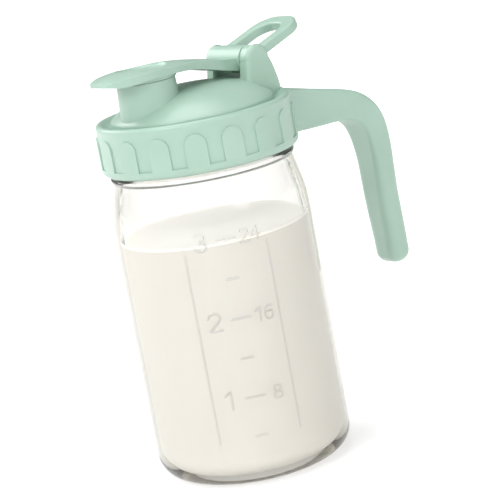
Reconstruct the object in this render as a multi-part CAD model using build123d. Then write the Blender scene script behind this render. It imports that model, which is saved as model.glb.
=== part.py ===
from build123d import *
import math
import os

# Wide-mouth quart glass jar with a handled pour-spout lid.
# Frame: +Z up along the jar's axis, z = 0 where the jar stands, +X towards the handle,
# -X towards the spout, and the hinge of the flip cap along Y. Millimetres.

# ---- glass jar ----
JAR_R = 48.0  # straight body, outside
JAR_INNER_R = 43.8  # straight body, inside
JAR_TOP = 170.5  # sealing rim
HEEL_R = 11.0  # rounding between the wall and the base
INNER_HEEL_R = 10.0
BASE_RING_R = 29.5  # inner edge of the ring that the jar stands on
PUSH_UP = 2.6  # height of the hollow under the base
FLOOR = 5.8  # inside, at the middle
FLOOR_RISE = 2.0  # the floor is this much lower at its edge
SHOULDER_Z = 119.0  # where the straight body ends
NECK_R = 43.9
BEAD_R = 44.8
BEAD_Z = 150.0
BEAD_HALF = 1.3
FINISH_R = 41.6  # neck cylinder between the threads
MOUTH_R = 38.1  # 76 mm wide mouth

# ---- screw thread ----
PITCH = 5.08  # five threads to the inch
JAR_THREAD_R = 42.75
COLLAR_THREAD_R = 41.95
THREAD_START = 155.6
THREAD_TURNS = 1.5
THREAD_FOOT = 2.1  # width of a ridge at its foot
THREAD_CREST = 1.0  # width of a ridge at its crest
THREAD_ANGLE = 200.0  # where a ridge begins, clear of the handle
THREAD_BURY = 0.4  # how far a ridge is rooted in its wall

# ---- collar and handle ----
COLLAR_R = 47.9  # over the raised grips
COLLAR_FIELD_R = 47.1  # between the grips
COLLAR_BORE_R = 43.35
COLLAR_BOTTOM = 152.4
COLLAR_FOOT_ROUND = 3.3
COLLAR_RIM_R = 45.3
COLLAR_RIM_Z = 177.2
WEB_BOTTOM = 172.3
VALLEY_Z = 174.9
GRIP_PITCHES = 17  # equal pitches; the handle takes the place of one grip
GRIP_WIDTH = 10.2
GRIP_TOP = 171.6
GRIP_BAND_TOP = 156.6
FIELD_START = 172.0  # the wall steps in to the field above this height
HANDLE_WIDTH = 18.0
HANDLE_END_LENGTH = 10.0  # straight length at the free end of the grip
HANDLE_END = 6.2  # rounding of the handle's free end
HANDLE_SECTIONS = 24
# Middle line of the handle: (x, z)
HANDLE_POINTS = [
    (44.5, 164.2), (57.0, 162.5), (70.0, 160.6), (84.0, 158.6), (94.6, 155.2), (102.2, 148.4),
    (105.8, 138.0), (106.9, 110.0), (108.2, 80.0),
]
# Height and corner radius at equal shares of the middle line
HANDLE_HEIGHTS = [23.4, 21.6, 19.4, 17.2, 15.2, 14.2, 14.0, 13.4, 12.9, 12.9, 13.1, 13.4, 13.6]
HANDLE_CORNERS = [1.2, 1.2, 1.2, 1.2, 1.3, 1.7, 2.4, 3.2, 4.1, 4.7, 5.2, 5.8, 6.5]

# ---- spout dome ----
LIP_R = 39.5
LIP_Z = 176.7
SEAT_GAP = 0.05  # side clearance of the dome in the collar
SKIRT_R = 37.9
SKIRT_INNER_R = 35.9
FLANGE_Z = 174.2
# Dome outline from the axis to the lip: (radius, height)
DOME_POINTS = [(0, 188.4), (12, 188.0), (22, 186.5), (30, 183.7), (36, 180.1), (39.3, 177.3)]
SHELL = 2.2
SPOUT_X = -23.2
SPOUT_R = 14.0
SPOUT_FOOT_R = 15.1
SPOUT_BORE_R = 11.7
SPOUT_TOP = 195.5
SPOUT_FOOT = 177.0

# ---- hinge: ear, loop eye, cap knuckle, loop eye, ear ----
HINGE_X = 30.5
HINGE_Z = 194.4
BARREL_R = 6.2
KNUCKLE_HALF = 10.7
EAR_INNER = 10.9  # the front wall of an ear starts here
SLOT_OUTER = 15.5  # the slot for a loop eye ends here
EAR_OUTER = 17.4
EAR_EDGE = 2.3
EAR_FOOT_Z = 175.2
EAR_FOOT_R = 46.0  # the feet end on this circle, just short of the collar's wall
# Side outline of an ear: front edge, round top and back edge, as (x, z)
EAR_FRONT = [(21.4, 175.2), (24.8, 193.6)]
EAR_CREST = (30.9, 200.8)
EAR_BACK = [(38.4, 193.8), (41.1, 186.2), (42.8, 175.2)]
EAR_WALL = 1.6  # front wall of the ears, ahead of the slots
EAR_ROOF_X = 30.0  # the roof over the slots ends here
EAR_ROOF_Z = 199.1
SADDLE_Z = 185.8
REAR_WALL = [(38.8, 176.0), (41.2, 176.0), (40.6, 187.0), (39.0, 187.0)]
PIN_R = 1.5
PIN_RUN = 0.05  # running clearance on the pin
PIN_BLIND_Y = -16.4  # closed end of the pin's bore, in one ear

# ---- carry loop ----
EYE_R = 3.8
EYE_INNER = 11.0
EYE_OUTER = 15.2
LOOP_INNER = 9.4  # half width of the hole, behind the cap's knuckle
KNUCKLE_ROOM = 7.4  # the bars leave this much room round the hinge axis
LOOP_TILT = 18.5  # degrees above level
LOOP_LENGTH = 36.8  # from the hinge axis to the tip
LOOP_THICK = 4.8
LOOP_TIP_BAR = 7.2
LOOP_CORNER = 11.5
LOOP_INNER_CORNER = 7.6
LOOP_EDGE = 1.2

# ---- flip cap ----
# Stations along X: (x, half width, top at the middle, top at the edge, bottom)
CAP_STATIONS = [
    (-49.4, 7.0, 199.5, 199.1, 198.0),
    (-48.2, 8.8, 200.1, 199.4, 197.4),
    (-45.4, 10.9, 201.1, 200.0, 196.8),
    (-41.6, 12.9, 201.9, 200.5, 196.6),
    (-36.0, 14.5, 202.5, 200.9, 196.9),
    (-30.0, 15.2, 202.6, 200.9, 197.3),
    (-22.0, 15.2, 202.5, 200.6, 197.3),
    (-14.0, 14.3, 202.2, 200.2, 197.1),
    (-6.0, 12.8, 201.4, 199.9, 196.5),
    (2.0, 11.3, 200.1, 199.3, 195.2),
    (10.0, 10.4, 198.5, 197.9, 193.1),
    (18.0, 9.1, 196.8, 196.3, 190.9),
    (25.0, 8.4, 195.4, 195.0, 189.2),
]
CAP_HOLLOW_STATIONS = slice(2, 11)
CAP_WALL = 1.8
DISH_R = 12.4
DISH_FLOOR = 200.4
DISH_ROUND = 2.2  # between the dish's wall and its floor
DISH_X = -24.6
CAP_RING_R = 14.7
CAP_RING_BOTTOM = 195.9
CAP_SEAT_TOP = 199.0

# ---- seals ----
SEAL_PLUG_R = 11.4
SEAL_PLUG_BOTTOM = 191.0
SEAL_BODY_R = 13.2
SEAL_BODY_BOTTOM = SPOUT_TOP + 0.02
SEAL_HOLLOW_R = 9.3
SEAL_HOLLOW_TOP = 198.0
GASKET_INNER_R = 36.1
GASKET_OUTER_R = 43.0

os.makedirs("parts", exist_ok=True)


def save(node, shape):
    """Write one sub-part to its STEP file."""
    export_step(shape, f"parts/{node}.step")
    print(node, round(shape.volume), "mm3")


def path_of(*points):
    """Straight lines through the points, in order."""
    return [Line(a, b) for a, b in zip(points, points[1:])]


def round_corner(start, corner, end):
    """Quarter round from start to end, tangent to the two sides of the sharp corner."""
    cx = start[0] + end[0] - corner[0]
    cz = start[1] + end[1] - corner[1]
    share = math.sqrt(0.5)
    middle = (cx + (corner[0] - cx) * share, cz + (corner[1] - cz) * share)
    return ThreePointArc(start, middle, end)


def revolved(edges):
    """Turn a closed outline of (radius, height) about the jar's axis."""
    return revolve(Plane.XZ * make_face(edges), Axis.Z)


def across_y(edges, half_width):
    """A prism of a closed (x, z) outline, the same distance each side of the middle."""
    return extrude(Plane.XZ * make_face(edges), amount=half_width, both=True)


def disc(radius, bottom, top, x=0.0):
    """A cylinder that stands along Z."""
    return Pos(x, 0, (bottom + top) / 2) * Cylinder(radius, top - bottom)


def hinge_cylinder(radius, low, high):
    """A cylinder on the hinge axis between two Y positions."""
    return Pos(HINGE_X, (low + high) / 2, HINGE_Z) * Rot(90, 0, 0) * Cylinder(radius, high - low)


def thread_ridge(root_r, crest_r, start):
    """A helical ridge from a root radius to a crest radius."""
    foot_r = root_r - math.copysign(THREAD_BURY, crest_r - root_r)
    foot = THREAD_FOOT / 2
    crest = THREAD_CREST / 2
    path = Helix(PITCH, PITCH * THREAD_TURNS, root_r, center=(0, 0, start))
    outline = Polyline(
        (foot_r, start - foot), (crest_r, start - crest), (crest_r, start + crest),
        (foot_r, start + foot), close=True,
    )
    ridge = sweep(Plane.XZ * make_face(outline), path=path, is_frenet=True)
    return Rot(0, 0, THREAD_ANGLE) * ridge


# ---------------------------------------------------------------- glass jar
def jar_outside():
    """Outer half outline: heel, straight wall, gentle shoulder, bead, neck and rim."""
    rim_round = (FINISH_R - MOUTH_R) / 2
    bead_foot = BEAD_Z - BEAD_HALF
    bead_head = BEAD_Z + BEAD_HALF
    neck_start = BEAD_Z + 3.4
    flat_r = JAR_R - HEEL_R
    return path_of((flat_r, 0), (0, 0), (0, JAR_TOP), (FINISH_R - rim_round, JAR_TOP)) + [
        round_corner((FINISH_R - rim_round, JAR_TOP), (FINISH_R, JAR_TOP),
                     (FINISH_R, JAR_TOP - rim_round)),
        Line((FINISH_R, JAR_TOP - rim_round), (FINISH_R, neck_start)),
        Spline((FINISH_R, neck_start), (FINISH_R + 0.7, BEAD_Z + 2.1), (NECK_R, bead_head),
               tangents=[(0, -1), (1, -0.4)]),
        ThreePointArc((NECK_R, bead_head), (BEAD_R, BEAD_Z), (NECK_R, bead_foot)),
        Spline((NECK_R, bead_foot), (NECK_R + 0.25, 146.4), (45.5, 140.2), (46.9, 133.4),
               (47.7, 127.0), (JAR_R, SHOULDER_Z), tangents=[(0, -1), (0, -1)]),
        Line((JAR_R, SHOULDER_Z), (JAR_R, HEEL_R)),
        round_corner((JAR_R, HEEL_R), (JAR_R, 0), (flat_r, 0)),
    ]


def jar_inside():
    """Half outline of the space in the jar, open at the mouth."""
    mouth_start = BEAD_Z + 8
    floor_edge = JAR_INNER_R - INNER_HEEL_R
    low = FLOOR - FLOOR_RISE
    return path_of((0, FLOOR), (0, JAR_TOP + 1), (MOUTH_R, JAR_TOP + 1), (MOUTH_R, mouth_start)) + [
        Spline((MOUTH_R, mouth_start), (38.9, 149.5), (40.9, 140.2), (42.8, 131.0),
               (JAR_INNER_R, SHOULDER_Z), tangents=[(0, -1), (0, -1)]),
        Line((JAR_INNER_R, SHOULDER_Z), (JAR_INNER_R, low + INNER_HEEL_R)),
        round_corner((JAR_INNER_R, low + INNER_HEEL_R), (JAR_INNER_R, low), (floor_edge, low)),
        Spline((floor_edge, low), (floor_edge * 0.5, FLOOR - 0.3 * FLOOR_RISE), (0, FLOOR),
               tangents=[(-1, 0), (-1, 0)]),
    ]


def make_jar():
    """Hollow glass jar with a concave base and a screw thread."""
    push_up = [
        Spline((0, PUSH_UP), (BASE_RING_R * 0.6, PUSH_UP * 0.7), (BASE_RING_R, 0),
               tangents=[(1, 0), (1, -0.5)]),
    ] + path_of((BASE_RING_R, 0), (BASE_RING_R, -1), (0, -1), (0, PUSH_UP))
    glass = revolved(jar_outside()) - revolved(push_up) - revolved(jar_inside())
    return glass + thread_ridge(FINISH_R, JAR_THREAD_R, THREAD_START)


# ---------------------------------------------------------------- collar and handle
def collar_outline():
    """Collar wall: rounded foot, grip level, field, rounded rim, slope to the dome, seat and bore."""
    field = COLLAR_FIELD_R
    rise = COLLAR_R - COLLAR_FIELD_R
    foot = COLLAR_FOOT_ROUND
    rim = field - COLLAR_RIM_R
    seat_r = LIP_R + SEAT_GAP
    hole_r = SKIRT_R + SEAT_GAP
    return [
        Line((COLLAR_BORE_R, COLLAR_BOTTOM), (COLLAR_R - foot, COLLAR_BOTTOM)),
        round_corner((COLLAR_R - foot, COLLAR_BOTTOM), (COLLAR_R, COLLAR_BOTTOM),
                     (COLLAR_R, COLLAR_BOTTOM + foot)),
    ] + path_of((COLLAR_R, COLLAR_BOTTOM + foot), (COLLAR_R, FIELD_START),
                (field, FIELD_START + rise), (field, COLLAR_RIM_Z - rim)) + [
        round_corner((field, COLLAR_RIM_Z - rim), (field, COLLAR_RIM_Z), (COLLAR_RIM_R, COLLAR_RIM_Z)),
        Spline((COLLAR_RIM_R, COLLAR_RIM_Z), (43.6, 176.6), (41.6, 175.4), (seat_r, VALLEY_Z),
               tangents=[(-1, 0), (-1, -0.1)]),
    ] + path_of((seat_r, VALLEY_Z), (seat_r, FLANGE_Z), (hole_r, FLANGE_Z), (hole_r, WEB_BOTTOM),
                (COLLAR_BORE_R, WEB_BOTTOM), (COLLAR_BORE_R, COLLAR_BOTTOM))


def field_between_grips():
    """The shallow recess that leaves the arch-topped grips standing proud."""
    half = GRIP_WIDTH / 2
    low = GRIP_BAND_TOP - 3
    spring = GRIP_TOP - half
    arch = make_face(path_of((-half, spring), (-half, low), (half, low), (half, spring)) + [
        ThreePointArc((half, spring), (0, GRIP_TOP), (-half, spring)),
    ])
    block = Pos(COLLAR_R - 4, 0, 0) * extrude(Plane.YZ * arch, amount=6)
    grips = [Rot(0, 0, 360 * k / GRIP_PITCHES) * block for k in range(1, GRIP_PITCHES)]
    high = FIELD_START + 1.5
    inner = COLLAR_FIELD_R + 0.02
    skin = disc(COLLAR_R + 1, GRIP_BAND_TOP, high) - disc(inner, GRIP_BAND_TOP - 1, high + 1)
    return skin - grips


def between(share, values):
    """Value at a share of the way through equally spaced stations."""
    place = share * (len(values) - 1)
    low = min(int(place), len(values) - 2)
    part = place - low
    ease = part * part * (3 - 2 * part)
    return values[low] + (values[low + 1] - values[low]) * ease


def handle_section(path, share):
    """A rounded rectangle across the handle's middle line at a share of its length."""
    plane = Plane(origin=path @ share, x_dir=(0, 1, 0), z_dir=path % share)
    return plane * RectangleRounded(HANDLE_WIDTH, between(share, HANDLE_HEIGHTS),
                                    between(share, HANDLE_CORNERS))


def make_handle():
    """Flat-sided arm that tapers out from the collar and turns down into a rounded grip."""
    path = Plane.XZ * Spline(*HANDLE_POINTS, tangents=[(1, -0.07), (0.03, -1)])
    sections = [handle_section(path, k / HANDLE_SECTIONS) for k in range(HANDLE_SECTIONS + 1)]
    end = extrude(sections[-1], amount=HANDLE_END_LENGTH)
    end = fillet(end.faces().sort_by(Axis.Z)[0].edges(), HANDLE_END)
    return loft(sections) + end


def foot_notches():
    """Two notches in the collar's rim that key the dome's ears opposite the spout."""
    gap = SEAT_GAP
    wide = EAR_OUTER - EAR_INNER + 2 * gap
    middle = (EAR_OUTER + EAR_INNER) / 2
    block = Pos(42, 0, EAR_FOOT_Z + 5 - gap) * Box(12, wide, 10)
    both = [Pos(0, side * middle, 0) * block for side in (-1, 1)]
    return [foot & disc(EAR_FOOT_R + gap, 170, 190) for foot in both]


def make_collar():
    """Collar and handle in one moulding, with an internal thread."""
    collar = revolved(collar_outline()) - field_between_grips() + make_handle()
    collar = collar + thread_ridge(COLLAR_BORE_R, COLLAR_THREAD_R, THREAD_START + PITCH / 2)
    return collar - foot_notches()


# ---------------------------------------------------------------- spout dome
def make_dome_shell():
    """Shallow dome with a flange that sits in the collar and a skirt below it."""
    edge_r, edge_z = DOME_POINTS[-1]
    outside = revolved([
        Spline(*DOME_POINTS, tangents=[(1, 0), (0.8, -1)]),
    ] + path_of((edge_r, edge_z), (LIP_R, LIP_Z), (LIP_R, FLANGE_Z), (SKIRT_R, FLANGE_Z),
                (SKIRT_R, WEB_BOTTOM), (0, WEB_BOTTOM), DOME_POINTS[0]))
    scale = SKIRT_INNER_R / edge_r
    under = [(r * scale, z - SHELL) for r, z in DOME_POINTS]
    low = WEB_BOTTOM - 5
    cavity = revolved([
        Spline(*under, tangents=[(1, 0), (0.8, -1)]),
    ] + path_of(under[-1], (SKIRT_INNER_R, low), (0, low), under[0]))
    return outside, cavity


def make_ears():
    """Hinge ears with slots for the loop's eyes, feet in the collar's rim, saddle and rear wall."""
    foot, front = EAR_FRONT
    outline = [Line(foot, front), ThreePointArc(front, EAR_CREST, EAR_BACK[0]),
               Spline(*EAR_BACK), Line(EAR_BACK[-1], foot)]
    slab = across_y(outline, EAR_OUTER)
    rim = [e for e in slab.edges() if abs(abs(e.center().Y) - EAR_OUTER) < 0.1 and e.center().Z > 176]
    slab = fillet(rim, EAR_EDGE)
    over_saddle = path_of((10, SADDLE_Z), (35, SADDLE_Z), (43, 179.5), (60, 176), (60, 220), (10, 220),
                          (10, SADDLE_Z))
    opening = across_y(over_saddle, SLOT_OUTER)
    wall_x = front[0] + EAR_WALL
    slot = across_y(path_of((wall_x - 2, SADDLE_Z - 20), (wall_x, EAR_ROOF_Z - 3), (wall_x + 1.5, EAR_ROOF_Z),
                            (EAR_ROOF_X, EAR_ROOF_Z), (EAR_ROOF_X, 220), (60, 220),
                            (60, SADDLE_Z - 20), (wall_x - 2, SADDLE_Z - 20)), SLOT_OUTER)
    middle = Pos(HINGE_X, 0, 195) * Box(80, 2 * EAR_INNER, 80)
    return slab - (opening & (slot + middle)) + across_y(path_of(*REAR_WALL, REAR_WALL[0]), SLOT_OUTER + 0.2)


def make_dome():
    """Dome, pouring spout and hinge ears in one moulding."""
    outside, cavity = make_dome_shell()
    spout_height = SPOUT_TOP - SPOUT_FOOT
    spout = Pos(SPOUT_X, 0, (SPOUT_FOOT + SPOUT_TOP) / 2) * Cone(SPOUT_FOOT_R, SPOUT_R, spout_height)
    ears = make_ears() & disc(EAR_FOOT_R, 170, 210)
    beyond_lip = disc(60, 170, 210) - disc(LIP_R, 169, 211)
    collar_seat = revolved(path_of(
        (LIP_R - 1, 170), (50, 170), (50, COLLAR_RIM_Z + 0.1), (COLLAR_RIM_R - 1, COLLAR_RIM_Z + 0.1),
        (LIP_R - 1, VALLEY_Z + 0.1), (LIP_R - 1, 170),
    )) & beyond_lip
    feet = Pos(42, 0, EAR_FOOT_Z + 5) * (Box(12, 2 * EAR_OUTER, 10) - Box(13, 2 * EAR_INNER, 11))
    ears = ears - (collar_seat - feet)
    dome = outside + spout + ears - cavity - disc(SPOUT_BORE_R, 160, 200, SPOUT_X)
    return dome - hinge_cylinder(PIN_R, PIN_BLIND_Y, EAR_OUTER + 1)


# ---------------------------------------------------------------- carry loop
def make_loop():
    """U-shaped carry loop with two hinge eyes."""
    angle = math.radians(LOOP_TILT)
    tilt = (math.cos(angle), 0, math.sin(angle))
    plane = Plane(origin=(HINGE_X, 0, HINGE_Z), x_dir=tilt, z_dir=(-math.sin(angle), 0, math.cos(angle)))
    outer = Pos(LOOP_LENGTH - 40, 0) * RectangleRounded(80, 2 * EYE_OUTER, LOOP_CORNER)
    hole_end = LOOP_LENGTH - LOOP_TIP_BAR
    inner = Pos(hole_end - 40, 0) * RectangleRounded(80, 2 * LOOP_INNER, LOOP_INNER_CORNER)
    behind = Pos(-50, 0) * Rectangle(100, 60)
    beside_knuckle = Rectangle(2 * KNUCKLE_ROOM, 2 * EYE_INNER)
    bar = extrude(plane * (outer - inner - behind - beside_knuckle), amount=LOOP_THICK / 2, both=True)
    hinge = Vector(HINGE_X, 0, HINGE_Z)
    bar = fillet([e for e in bar.edges() if (e.center() - hinge).dot(Vector(*tilt)) > KNUCKLE_ROOM + 0.5],
                 LOOP_EDGE)
    eyes = hinge_cylinder(EYE_R, -EYE_OUTER, EYE_OUTER) - hinge_cylinder(20, -EYE_INNER, EYE_INNER)
    return bar + eyes - hinge_cylinder(PIN_R + PIN_RUN, -20, 20)


# ---------------------------------------------------------------- flip cap
def cap_section(x, half, top, edge, bottom, inset=0.0):
    """One section across the cap: flat foot, upright sides and a crowned top."""
    low = bottom - 2 * inset
    side = half - inset
    plane = Plane(origin=(x, 0, 0), x_dir=(0, 1, 0), z_dir=(1, 0, 0))
    outline = path_of((-side, edge - inset), (-side, low), (side, low), (side, edge - inset)) + [
        ThreePointArc((side, edge - inset), (0, top - inset), (-side, edge - inset)),
    ]
    return plane * make_face(outline)


def make_cap():
    """Arched flip cap: thumb tab, dished disc over the spout, arm and hinge knuckle."""
    shell = loft([cap_section(*s) for s in CAP_STATIONS])
    hollow = loft([cap_section(*s, inset=CAP_WALL) for s in CAP_STATIONS[CAP_HOLLOW_STATIONS]])
    boss = disc(CAP_RING_R, CAP_RING_BOTTOM - 5, 210, SPOUT_X)
    dish = disc(DISH_R, DISH_FLOOR, 210, DISH_X)
    dish = fillet(dish.edges().sort_by(Axis.Z)[0], DISH_ROUND)
    skirt = disc(CAP_RING_R, CAP_RING_BOTTOM, CAP_SEAT_TOP, SPOUT_X)
    seat = disc(SEAL_BODY_R, CAP_RING_BOTTOM - 1, CAP_SEAT_TOP, SPOUT_X)
    knuckle = hinge_cylinder(BARREL_R, -KNUCKLE_HALF, KNUCKLE_HALF)
    root_x = CAP_STATIONS[-1][0] - 0.2
    root_half = CAP_STATIONS[-1][1]
    root = Pos((root_x + HINGE_X) / 2, 0, HINGE_Z - 2.2) * Box(HINGE_X - root_x, 2 * root_half, 5.4)
    cap = shell - (hollow - boss) - dish + skirt + knuckle + root - seat
    return cap - hinge_cylinder(PIN_R + PIN_RUN, -20, 20)


def make_cap_seal():
    """Soft stopper cup under the cap that closes the spout's bore."""
    plug = disc(SEAL_PLUG_R, SEAL_PLUG_BOTTOM, SEAL_BODY_BOTTOM, SPOUT_X)
    body = disc(SEAL_BODY_R, SEAL_BODY_BOTTOM, CAP_SEAT_TOP, SPOUT_X)
    return plug + body - disc(SEAL_HOLLOW_R, SEAL_PLUG_BOTTOM - 1, SEAL_HOLLOW_TOP, SPOUT_X)


save("glass_jar", make_jar())
save("lid_gasket", disc(GASKET_OUTER_R, JAR_TOP, WEB_BOTTOM) - disc(GASKET_INNER_R, JAR_TOP, WEB_BOTTOM))
save("handle_collar", make_collar())
save("spout_dome", make_dome())
save("flip_cap", make_cap())
save("cap_seal", make_cap_seal())
save("hinge_pin", hinge_cylinder(PIN_R, PIN_BLIND_Y, EAR_OUTER - 0.1))
save("carry_loop", make_loop())
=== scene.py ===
import math

import bpy
import numpy as np
from mathutils import Matrix, Vector


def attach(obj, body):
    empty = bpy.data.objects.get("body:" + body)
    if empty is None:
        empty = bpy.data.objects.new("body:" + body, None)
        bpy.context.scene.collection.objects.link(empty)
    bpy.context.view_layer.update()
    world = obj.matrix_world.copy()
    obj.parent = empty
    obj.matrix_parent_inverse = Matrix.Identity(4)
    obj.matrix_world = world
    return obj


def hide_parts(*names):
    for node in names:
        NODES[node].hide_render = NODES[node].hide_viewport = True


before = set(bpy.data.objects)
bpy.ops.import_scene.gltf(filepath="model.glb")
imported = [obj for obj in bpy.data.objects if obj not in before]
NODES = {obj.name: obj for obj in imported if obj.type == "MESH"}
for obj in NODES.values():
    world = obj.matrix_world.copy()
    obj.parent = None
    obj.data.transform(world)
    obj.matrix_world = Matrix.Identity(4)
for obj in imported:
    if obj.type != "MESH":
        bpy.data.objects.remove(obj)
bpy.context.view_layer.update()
MM = 0.001
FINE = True


# ------------------------------------------------------------------ small helpers
def socket(node, *names):
    """The first of the named inputs that the node has."""
    for name in names:
        if name in node.inputs:
            return node.inputs[name]
    raise KeyError(names)


def rgb(r, g, b):
    """sRGB 0-255 to a linear colour."""
    out = []
    for c in (r, g, b):
        c = c / 255
        out.append(c / 12.92 if c <= 0.04045 else ((c + 0.055) / 1.055) ** 2.4)
    return (*out, 1.0)


def new_material(name):
    mat = bpy.data.materials.new(name)
    mat.use_nodes = True
    nodes = mat.node_tree.nodes
    return mat, nodes, mat.node_tree.links, nodes["Principled BSDF"]


def noise(nodes, links, scale, detail=3.0, rough=0.5):
    """A noise texture in object space, so that it rides with the piece."""
    coord = nodes.new("ShaderNodeTexCoord")
    tex = nodes.new("ShaderNodeTexNoise")
    tex.inputs["Scale"].default_value = scale
    tex.inputs["Detail"].default_value = detail
    tex.inputs["Roughness"].default_value = rough
    links.new(coord.outputs["Object"], tex.inputs["Vector"])
    return tex


def ramp(nodes, links, source, low, high, a=0.35, b=0.65):
    """Maps a value of a to b onto low to high, and holds it there."""
    node = nodes.new("ShaderNodeMapRange")
    node.inputs["From Min"].default_value = a
    node.inputs["From Max"].default_value = b
    node.inputs["To Min"].default_value = low
    node.inputs["To Max"].default_value = high
    links.new(source, node.inputs["Value"])
    return node.outputs["Result"]


def bump(nodes, links, height, strength, distance):
    node = nodes.new("ShaderNodeBump")
    node.inputs["Strength"].default_value = strength
    node.inputs["Distance"].default_value = distance
    links.new(height, node.inputs["Height"])
    return node.outputs["Normal"]


def tinted(nodes, links, factor, dark, light):
    """A colour between two, by a factor."""
    mix = nodes.new("ShaderNodeMix")
    mix.data_type = "RGBA"
    links.new(factor, mix.inputs["Factor"])
    mix.inputs["A"].default_value = dark
    mix.inputs["B"].default_value = light
    return mix.outputs["Result"]


# ------------------------------------------------------------------ materials
def mint_plastic():
    """Satin moulded polypropylene: faint flow mottling, fine spark-eroded grain."""
    mat, nodes, links, bsdf = new_material("mint_plastic")
    flow = noise(nodes, links, 38, 3)
    colour = tinted(nodes, links, ramp(nodes, links, flow.outputs["Fac"], 0, 1),
                    rgb(155, 184, 168), rgb(161, 189, 174))
    links.new(colour, bsdf.inputs["Base Color"])
    grain = noise(nodes, links, 2600, 2, 0.6)
    links.new(ramp(nodes, links, grain.outputs["Fac"], 0.30, 0.40), bsdf.inputs["Roughness"])
    links.new(bump(nodes, links, grain.outputs["Fac"], 0.25, 0.00006), bsdf.inputs["Normal"])
    socket(bsdf, "Subsurface Weight").default_value = 0.12
    socket(bsdf, "Subsurface Radius").default_value = (1.0, 1.0, 0.8)
    socket(bsdf, "Subsurface Scale").default_value = 0.0015
    socket(bsdf, "Specular IOR Level").default_value = 0.75
    return mat


def silicone():
    mat, nodes, links, bsdf = new_material("silicone")
    haze = noise(nodes, links, 300, 2)
    links.new(tinted(nodes, links, haze.outputs["Fac"], rgb(214, 219, 214), rgb(228, 232, 228)),
              bsdf.inputs["Base Color"])
    links.new(ramp(nodes, links, haze.outputs["Fac"], 0.5, 0.6), bsdf.inputs["Roughness"])
    socket(bsdf, "Subsurface Weight").default_value = 0.3
    socket(bsdf, "Subsurface Radius").default_value = (1.0, 1.0, 1.0)
    socket(bsdf, "Subsurface Scale").default_value = 0.002
    return mat


def stainless():
    mat, nodes, links, bsdf = new_material("stainless")
    drawn = noise(nodes, links, 900, 2)
    links.new(tinted(nodes, links, drawn.outputs["Fac"], rgb(176, 177, 176), rgb(206, 207, 206)),
              bsdf.inputs["Base Color"])
    links.new(ramp(nodes, links, drawn.outputs["Fac"], 0.22, 0.34), bsdf.inputs["Roughness"])
    bsdf.inputs["Metallic"].default_value = 1.0
    return mat


def clear_glass(name, ior):
    """Pressed glass: faint ripple, slight body colour; the raised scale is rougher, and painted shade
    tints it grey so that its strokes read darker.
    """
    mat, nodes, links, bsdf = new_material(name)
    ripple = noise(nodes, links, 45, 2)
    links.new(bump(nodes, links, ripple.outputs["Fac"], 0.12, 0.0006), bsdf.inputs["Normal"])
    raised = nodes.new("ShaderNodeAttribute")
    raised.attribute_name = "raised"
    # painted shade: the raised scale's glass is tinted grey so that the strokes stand out darker
    links.new(tinted(nodes, links, raised.outputs["Fac"], (0.99, 0.99, 0.99, 1), (0.66, 0.66, 0.65, 1)),
              bsdf.inputs["Base Color"])
    links.new(ramp(nodes, links, raised.outputs["Fac"], 0.0, 0.32, 0.0, 1.0), bsdf.inputs["Roughness"])
    socket(bsdf, "Transmission Weight", "Transmission").default_value = 1.0
    bsdf.inputs["IOR"].default_value = ior
    socket(bsdf, "Coat Weight").default_value = 0.8
    socket(bsdf, "Coat Roughness").default_value = 0.02
    socket(bsdf, "Coat IOR").default_value = 1.5
    body = nodes.new("ShaderNodeVolumeAbsorption")
    body.inputs["Color"].default_value = (0.70, 0.685, 0.62, 1)
    body.inputs["Density"].default_value = 44.0
    links.new(body.outputs["Volume"], nodes["Material Output"].inputs["Volume"])
    return mat


def milk_look(name, painted_glow):
    """Milk: cream-white, light carried deep; its emission is painted light, a glow that brightens the
    open surface under the lid where lamp light does not reach.
    """
    mat, nodes, links, bsdf = new_material(name)
    cream = noise(nodes, links, 22, 3)
    links.new(tinted(nodes, links, cream.outputs["Fac"], rgb(226, 223, 216), rgb(231, 228, 222)),
              bsdf.inputs["Base Color"])
    bsdf.inputs["Roughness"].default_value = 0.28
    socket(bsdf, "Subsurface Weight").default_value = 0.5
    socket(bsdf, "Subsurface Radius").default_value = (1.0, 0.9, 0.75)
    socket(bsdf, "Subsurface Scale").default_value = 0.008
    socket(bsdf, "Emission Color").default_value = (1.0, 0.975, 0.945, 1)
    socket(bsdf, "Emission Strength").default_value = painted_glow
    return mat


MINT = mint_plastic()
SILICONE = silicone()
STEEL = stainless()
GLASS = clear_glass("clear_glass", 1.045)
NECK_GLASS = clear_glass("neck_glass", 1.3)
# painted light: every milk material glows; the open top glows most, its edge by the glass less, and the
# body only faintly
MILK = milk_look("milk", 0.02)
MILK_EDGE_PAINTED_LIGHT = milk_look("milk_edge_painted_light", 0.3)
MILK_TOP_PAINTED_LIGHT = milk_look("milk_top_painted_light", 0.58)


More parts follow.
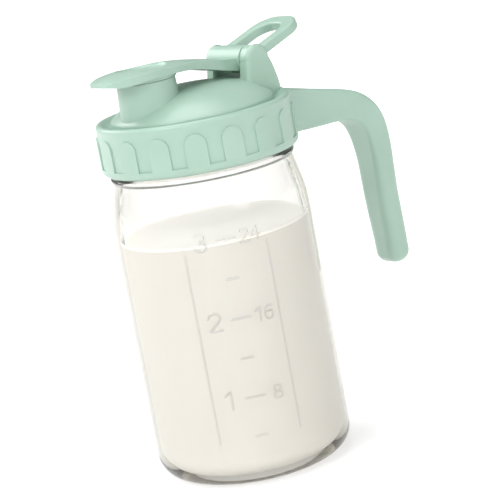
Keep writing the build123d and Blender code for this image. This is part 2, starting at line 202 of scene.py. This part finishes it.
# ------------------------------------------------------------------ mesh helpers
def smooth_curve(points, steps):
    """Centripetal Catmull-Rom through the points."""
    pts = np.array(points, float)
    pad = np.vstack([2 * pts[0] - pts[1], pts, 2 * pts[-1] - pts[-2]])
    out = []
    for i in range(1, len(pad) - 2):
        p0, p1, p2, p3 = pad[i - 1:i + 3]
        t0 = 0.0
        t1 = t0 + max(np.linalg.norm(p1 - p0), 1e-9) ** 0.5
        t2 = t1 + max(np.linalg.norm(p2 - p1), 1e-9) ** 0.5
        t3 = t2 + max(np.linalg.norm(p3 - p2), 1e-9) ** 0.5
        for k in range(steps):
            t = t1 + (t2 - t1) * k / steps
            a1 = (t1 - t) / (t1 - t0) * p0 + (t - t0) / (t1 - t0) * p1
            a2 = (t2 - t) / (t2 - t1) * p1 + (t - t1) / (t2 - t1) * p2
            a3 = (t3 - t) / (t3 - t2) * p2 + (t - t2) / (t3 - t2) * p3
            b1 = (t2 - t) / (t2 - t0) * a1 + (t - t0) / (t2 - t0) * a2
            b2 = (t3 - t) / (t3 - t1) * a2 + (t - t1) / (t3 - t1) * a3
            out.append((t2 - t) / (t2 - t1) * b1 + (t - t1) / (t2 - t1) * b2)
    out.append(pts[-1])
    return [tuple(p) for p in out]


def arc(cx, cz, radius, start, end, steps):
    """Points on a circle from start to end, in degrees."""
    angles = [math.radians(start + (end - start) * k / steps) for k in range(steps + 1)]
    return [(cx + radius * math.cos(a), cz + radius * math.sin(a)) for a in angles]


def lathe_points(profile, angles, push=None):
    """Grid of points (rows along the profile, columns round the axis), in metres."""
    prof = np.array(profile, float)
    r = np.repeat(prof[:, :1], len(angles), axis=1)
    z = np.repeat(prof[:, 1:], len(angles), axis=1)
    if push is not None:
        r = r + push(angles[None, :], z, r)
    x = r * np.cos(angles)[None, :]
    y = r * np.sin(angles)[None, :]
    return np.stack([x, y, z], axis=2) * MM


def grid_object(name, grid, material, close_first=False, close_last=False):
    """A mesh from rows and columns of points, joined round the columns, with closed ends."""
    rows, cols, _ = grid.shape
    verts = grid.reshape(-1, 3)
    i = np.arange(rows - 1)[:, None] * cols
    j = np.arange(cols)[None, :]
    k = (j + 1) % cols
    faces = np.stack([i + j, i + k, i + cols + k, i + cols + j], axis=2).reshape(-1, 4)
    verts = [tuple(v) for v in verts.tolist()]
    faces = [tuple(f) for f in faces.tolist()]
    for wanted, row, flip in ((close_first, 0, True), (close_last, rows - 1, False)):
        if not wanted:
            continue
        centre = grid[row].mean(axis=0)
        verts.append(tuple(centre.tolist()))
        hub = len(verts) - 1
        for c in range(cols):
            a = row * cols + c
            b = row * cols + (c + 1) % cols
            faces.append((b, a, hub) if flip else (a, b, hub))
    mesh = bpy.data.meshes.new(name)
    mesh.from_pydata(verts, [], faces)
    mesh.validate()
    mesh.update()
    mesh.polygons.foreach_set("use_smooth", [True] * len(mesh.polygons))
    mesh.materials.append(material)
    obj = bpy.data.objects.new(name, mesh)
    bpy.context.scene.collection.objects.link(obj)
    return obj


def resample(points, spacing):
    """Points at an even spacing along a profile (millimetres)."""
    pts = np.array(points, float)
    seg = np.linalg.norm(np.diff(pts, axis=0), axis=1)
    keep = np.concatenate([[True], seg > 1e-9])
    pts = pts[keep]
    run = np.concatenate([[0], np.cumsum(np.linalg.norm(np.diff(pts, axis=0), axis=1))])
    n = max(int(round(run[-1] / spacing)), 1)
    at = np.linspace(0, run[-1], n + 1)
    return [(float(a), float(b)) for a, b in
            zip(np.interp(at, run, pts[:, 0]), np.interp(at, run, pts[:, 1]))]


# ------------------------------------------------------------------ glass jar
SCALE_ANGLE = math.radians(238.8)  # middle of the raised scale, on the side that faces front
CUP = 38.4  # height of a cup on the scale
FIRST_TICK = 25.2  # height of the half-cup mark
SCALE_SIDES = (-19.6, 20.4)  # the two upright lines beside the numbers
SCALE_RISE = 0.38  # how far the scale stands out
SCALE_SOFT = 0.32  # rounding of a stroke's edge
JAR_R = 48.0
WALL_R = 47.0  # what lies further out than this is wall
WALL_LOW = 15.0
WALL_TOP = 128.0
NECK_START = 148.4  # from here up the glass is the more refracting kind
FINISH_R = 41.6  # neck cylinder between the threads
THREAD_RISE = 1.15
THREAD_START = 155.6
THREAD_PITCH = 5.08
THREAD_TURNS = 1.5
THREAD_ANGLE = math.radians(200)
THREAD_FADE = 0.06  # share of a turn over which the thread runs out
MILK_LEVEL = 119.0
MILK_R = 43.86  # just into the glass, so that the milk wets it
DIGITS = {  # strokes in a cell that is 1 high
    "1": [[(0.18, 0.78), (0.5, 1.0), (0.5, 0.0)]],
    "2": [[(0.05, 0.74), (0.12, 0.92), (0.32, 1.0), (0.55, 0.98), (0.7, 0.84), (0.69, 0.66),
           (0.52, 0.44), (0.05, 0.0), (0.74, 0.0)]],
    "3": [[(0.06, 0.84), (0.2, 0.97), (0.4, 1.0), (0.6, 0.93), (0.66, 0.76), (0.56, 0.6),
           (0.34, 0.54), (0.58, 0.49), (0.71, 0.3), (0.62, 0.08), (0.38, 0.0), (0.16, 0.03),
           (0.03, 0.17)]],
    "4": [[(0.56, 0.0), (0.56, 1.0), (0.02, 0.3), (0.76, 0.3)]],
    "6": [[(0.62, 0.94), (0.42, 1.0), (0.2, 0.86), (0.06, 0.55), (0.06, 0.25), (0.2, 0.03),
           (0.42, 0.0), (0.62, 0.1), (0.69, 0.3), (0.6, 0.52), (0.4, 0.6), (0.18, 0.52),
           (0.07, 0.34)]],
    "8": [[(0.36, 0.54), (0.14, 0.66), (0.11, 0.84), (0.24, 0.98), (0.38, 1.0), (0.54, 0.97),
           (0.65, 0.84), (0.6, 0.66), (0.36, 0.54), (0.1, 0.4), (0.04, 0.2), (0.17, 0.03),
           (0.38, 0.0), (0.6, 0.04), (0.71, 0.2), (0.64, 0.42), (0.36, 0.54)]],
}


def scale_strokes():
    """Line pieces of the raised scale: ((x, z), (x, z), half width) in mm on the wall.

    A long mark with its cups and ounces stands at each whole cup, a short one half way up to it.
    """
    strokes = []

    def line(points, half):
        for a, b in zip(points, points[1:]):
            strokes.append((a, b, half))

    def number(text, x, z, height, half):
        wide = height * 0.82
        start = x - wide * len(text) / 2 + 0.04 * height
        for n, digit in enumerate(text):
            for stroke in DIGITS[digit]:
                line([(start + n * wide + px * height, z - height / 2 + pz * height)
                      for px, pz in stroke], half)

    for k in range(6):
        z = FIRST_TICK + k * CUP / 2
        whole = k % 2 == 1
        reach = 5.6 if whole else 3.4
        line([(-reach * 0.62, z), (reach, z)], 0.55)
    for k, (cups, ounces) in enumerate((("1", "8"), ("2", "16"), ("3", "24"))):
        z = FIRST_TICK + CUP / 2 + k * CUP
        number(cups, -11.4, z, 8.4, 0.62)
        number(ounces, 12.2, z, 6.4, 0.52)
    for x in SCALE_SIDES:
        line([(x, 24.0), (x, 116.0)], 0.45)
    return strokes


def scale_height(angles, z):
    """Height of the raised scale over the wall, in mm."""
    x = (angles - SCALE_ANGLE) * JAR_R
    x, z = np.broadcast_arrays(x, z)
    best = np.zeros(x.shape)
    for (ax, az), (bx, bz), half in scale_strokes():
        near = ((x > min(ax, bx) - 2) & (x < max(ax, bx) + 2)
                & (z > min(az, bz) - 2) & (z < max(az, bz) + 2))
        if not near.any():
            continue
        px = x[near]
        pz = z[near]
        dx, dz = bx - ax, bz - az
        t = np.clip(((px - ax) * dx + (pz - az) * dz) / max(dx * dx + dz * dz, 1e-9), 0, 1)
        d = np.hypot(px - ax - t * dx, pz - az - t * dz)
        edge = np.clip((half + SCALE_SOFT - d) / (2 * SCALE_SOFT), 0, 1)
        best[near] = np.maximum(best[near], edge * edge * (3 - 2 * edge))
    return SCALE_RISE * best


def thread_height(angles, z):
    """Rounded helical ridge on the neck, fading in and out at its ends."""
    best = np.zeros(np.broadcast(angles, z).shape)
    for turn in range(math.ceil(THREAD_TURNS)):
        share = (angles - THREAD_ANGLE) % (2 * math.pi) / (2 * math.pi) + turn
        middle = THREAD_START + THREAD_PITCH * share
        fade = np.clip(share / THREAD_FADE, 0, 1) * np.clip((THREAD_TURNS - share) / THREAD_FADE, 0, 1)
        shape = np.clip((1.15 - np.abs(z - middle)) / 0.7, 0, 1)
        best = np.maximum(best, shape * fade)
    return THREAD_RISE * best


def jar_push(angles, z, r):
    """How far each point of the jar's outer surface stands out from the plain profile."""
    wall = (r > WALL_R) & (z > WALL_LOW) & (z < WALL_TOP)
    neck = (np.abs(r - FINISH_R) < 0.02) & (z > 153.5) & (z < 168)
    return np.where(wall, scale_height(angles, z), 0) + np.where(neck, thread_height(angles, z), 0)


def jar_columns(detail):
    """Angles round the jar, close together over the raised scale."""
    spread = 23.0 / JAR_R
    fine = np.arange(SCALE_ANGLE - spread, SCALE_ANGLE + spread, detail / JAR_R)
    rest = np.linspace(fine[-1], fine[0] + 2 * math.pi, 150)[1:-1]
    return np.concatenate([fine, rest])


def mark_zones(jar):
    """The "raised" attribute, 1 on the raised scale, and the neck's own glass."""
    points = np.empty(len(jar.data.vertices) * 3)
    jar.data.vertices.foreach_get("co", points)
    points = points.reshape(-1, 3) / MM
    radius = np.hypot(points[:, 0], points[:, 1])
    on_wall = (radius > WALL_R) & (points[:, 2] > WALL_LOW) & (points[:, 2] < WALL_TOP)
    values = np.where(on_wall, np.clip((radius - JAR_R) / 0.3, 0, 1), 0)
    layer = jar.data.attributes.new("raised", "FLOAT", "POINT")
    layer.data.foreach_set("value", values.astype(np.float32))
    jar.data.materials.append(NECK_GLASS)
    middles = np.empty(len(jar.data.polygons) * 3)
    jar.data.polygons.foreach_get("center", middles)
    heights = middles.reshape(-1, 3)[:, 2] / MM
    zone = heights > NECK_START
    jar.data.polygons.foreach_set("material_index", zone.astype(np.int32))


def build_jar():
    step = 0.3 if FINE else 0.55
    base = smooth_curve([(0.05, 2.6), (9, 2.45), (17.7, 1.82), (25, 0.75), (29.0, 0.12), (29.8, 0.0)], 8)
    outer = base + [(33, 0.0)] + arc(37, 11, 11, -90, 0, 26)
    wall = resample([(48, 11), (48, 119)], step)[1:]
    shoulder = smooth_curve([(48, 119), (47.75, 127), (46.95, 133.4), (45.5, 140.2), (44.2, 146.2),
                             (43.9, 148.6)], 8)[1:]
    bead = arc(43.35, 150, 1.5, -68, 68, 12)
    root = smooth_curve([(43.3, 151.75), (42.3, 152.2), (41.75, 152.9), (FINISH_R, 153.8)], 4)
    neck = resample([(FINISH_R, 153.8), (FINISH_R, 168.6)], 0.3)[1:]
    rim = arc(39.75, 168.65, 1.85, 4, 90, 10) + arc(39.3, 169.3, 1.2, 92, 178, 8)
    inner = (resample([(38.1, 169.2), (38.1, 158)], 1.5)
             + smooth_curve([(38.1, 158), (38.9, 149.5), (40.9, 140.2), (42.8, 131), (43.8, 119)], 6)[1:]
             + resample([(43.8, 119), (43.8, 13.8)], 3.0)[1:]
             + arc(33.8, 13.8, 10.0, 0, -90, 16)[1:]
             + smooth_curve([(33.8, 3.8), (25, 4.3), (16.9, 5.2), (8, 5.72), (0.05, 5.8)], 5)[1:])
    profile = outer + wall + shoulder + bead + root + neck + rim + inner
    grid = lathe_points(profile, jar_columns(step), jar_push)
    jar = grid_object("glass_jar_visual", grid, GLASS, True, True)
    mark_zones(jar)
    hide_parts("glass_jar")
    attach(jar, "jar")


def build_milk():
    """Milk up to the third cup: it wets the glass, with a small curl at the wall."""
    level = MILK_LEVEL
    wet = MILK_R
    profile = (smooth_curve([(0.05, 5.76), (8, 5.68), (16.9, 5.16), (25, 4.25), (33.8, 3.75)], 5)
               + arc(33.8, 13.8, 10.06, -90, 0, 16)[1:]
               + resample([(wet, 13.8), (wet, level - 1.2)], 3)[1:]
               + [(wet, level - 0.4), (wet, level + 0.5)]
               + [(wet - 0.25, level + 0.3), (wet - 0.55, level + 0.14), (wet - 1.0, level + 0.04)]
               + resample([(wet - 1.6, level), (0.05, level)], 4))
    angles = np.linspace(0, 2 * math.pi, 161)[:-1]
    milk = grid_object("milk", lathe_points(profile, angles), MILK, True, True)
    milk.data.materials.append(MILK_EDGE_PAINTED_LIGHT)
    milk.data.materials.append(MILK_TOP_PAINTED_LIGHT)
    # painted light: the open surface gets the strongest glow, and the ring where it meets the glass gets
    # a lesser glow
    for face in milk.data.polygons:
        if face.center.z > (level - 1) * MM:
            face.material_index = 2 if face.center.xy.length < (wet - 0.1) * MM else 1
    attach(milk, "jar")


# ------------------------------------------------------------------ assembly
build_jar()
build_milk()
for node, material in {
    "lid_gasket": SILICONE,
    "handle_collar": MINT,
    "spout_dome": MINT,
    "flip_cap": MINT,
    "cap_seal": SILICONE,
    "hinge_pin": STEEL,
    "carry_loop": MINT,
}.items():
    piece = NODES[node]
    for slot_index in range(len(piece.material_slots)):
        piece.material_slots[slot_index].material = material


# ------------------------------------------------------------------ stage, light and camera
def build_stage():
    mesh = bpy.data.meshes.new("floor")
    size = 30.0
    corners = [(-size, -size, 0), (size, -size, 0), (size, size, 0), (-size, size, 0)]
    mesh.from_pydata(corners, [], [(0, 1, 2, 3)])
    mat, nodes, links, bsdf = new_material("pale_floor")
    speck = noise(nodes, links, 3, 2)
    links.new(tinted(nodes, links, speck.outputs["Fac"], (0.60, 0.60, 0.60, 1), (0.63, 0.63, 0.63, 1)),
              bsdf.inputs["Base Color"])
    bsdf.inputs["Roughness"].default_value = 0.9
    coord = nodes.new("ShaderNodeTexCoord")
    reach = nodes.new("ShaderNodeVectorMath")
    reach.operation = "LENGTH"
    links.new(coord.outputs["Object"], reach.inputs[0])
    socket(bsdf, "Emission Color").default_value = (1, 1, 1, 1)
    links.new(ramp(nodes, links, reach.outputs["Value"], 0.46, 0.74, 0.25, 1.6),
              socket(bsdf, "Emission Strength"))
    mesh.materials.append(mat)
    floor = bpy.data.objects.new("floor", mesh)
    floor.location = (0, 0, -0.0002)
    bpy.context.scene.collection.objects.link(floor)


def area_light(name, place, target, size, power):
    light = bpy.data.lights.new(name, "AREA")
    light.shape = "DISK"
    light.size = size
    light.energy = power
    obj = bpy.data.objects.new(name, light)
    obj.location = place
    obj.rotation_euler = (Vector(target) - Vector(place)).to_track_quat("-Z", "Y").to_euler()
    bpy.context.scene.collection.objects.link(obj)


def build_light():
    world = bpy.data.worlds.new("studio")
    world.use_nodes = True
    nodes = world.node_tree.nodes
    links = world.node_tree.links
    background = nodes["Background"]
    background.inputs["Color"].default_value = (1, 1, 1, 1)
    coord = nodes.new("ShaderNodeTexCoord")
    side = nodes.new("ShaderNodeVectorMath")
    side.operation = "DOT_PRODUCT"
    side.inputs[1].default_value = (-0.66, -0.36, 0.66)
    links.new(coord.outputs["Generated"], side.inputs[0])
    strength = ramp(nodes, links, side.outputs["Value"], 0.12, 0.86, -0.7, 0.9)
    links.new(strength, background.inputs["Strength"])
    bpy.context.scene.world = world
    centre = (0, 0, 0.12)
    area_light("key", (-1.3, -0.5, 1.0), centre, 0.8, 8)
    area_light("fill", (0.1, -1.6, 0.8), centre, 1.0, 5)
    area_light("back", (-0.5, 1.4, 1.0), centre, 1.2, 13)
    area_light("top", (-0.1, 0.1, 1.7), centre, 1.2, 10.5)


def build_camera():
    azimuth = math.radians(-36)
    height = math.radians(12.33)
    roll = math.radians(-10.49)
    back = Vector((math.sin(azimuth) * math.cos(height), -math.cos(azimuth) * math.cos(height),
                   math.sin(height)))
    right = Vector((math.cos(azimuth), math.sin(azimuth), 0))
    up = back.cross(right)
    turned_right = right * math.cos(roll) + up * math.sin(roll)
    turned_up = -right * math.sin(roll) + up * math.cos(roll)
    target = Vector((0, 0, 0.10343)) + right * 0.0149  # middle of the framed object
    distance = 0.9894
    place = target + back * distance
    camera = bpy.data.cameras.new("camera")
    camera.sensor_width = 36
    camera.lens = 146.9304
    camera.clip_start = 0.01
    obj = bpy.data.objects.new("camera", camera)
    obj.matrix_world = Matrix(((turned_right.x, turned_up.x, back.x, place.x),
                               (turned_right.y, turned_up.y, back.y, place.y),
                               (turned_right.z, turned_up.z, back.z, place.z),
                               (0, 0, 0, 1)))
    bpy.context.scene.collection.objects.link(obj)
    bpy.context.scene.camera = obj


build_stage()
build_light()
build_camera()
view = bpy.context.scene.view_settings
view.view_transform = "Standard"
view.look = "None"
view.exposure = 0.0
view.gamma = 1.0
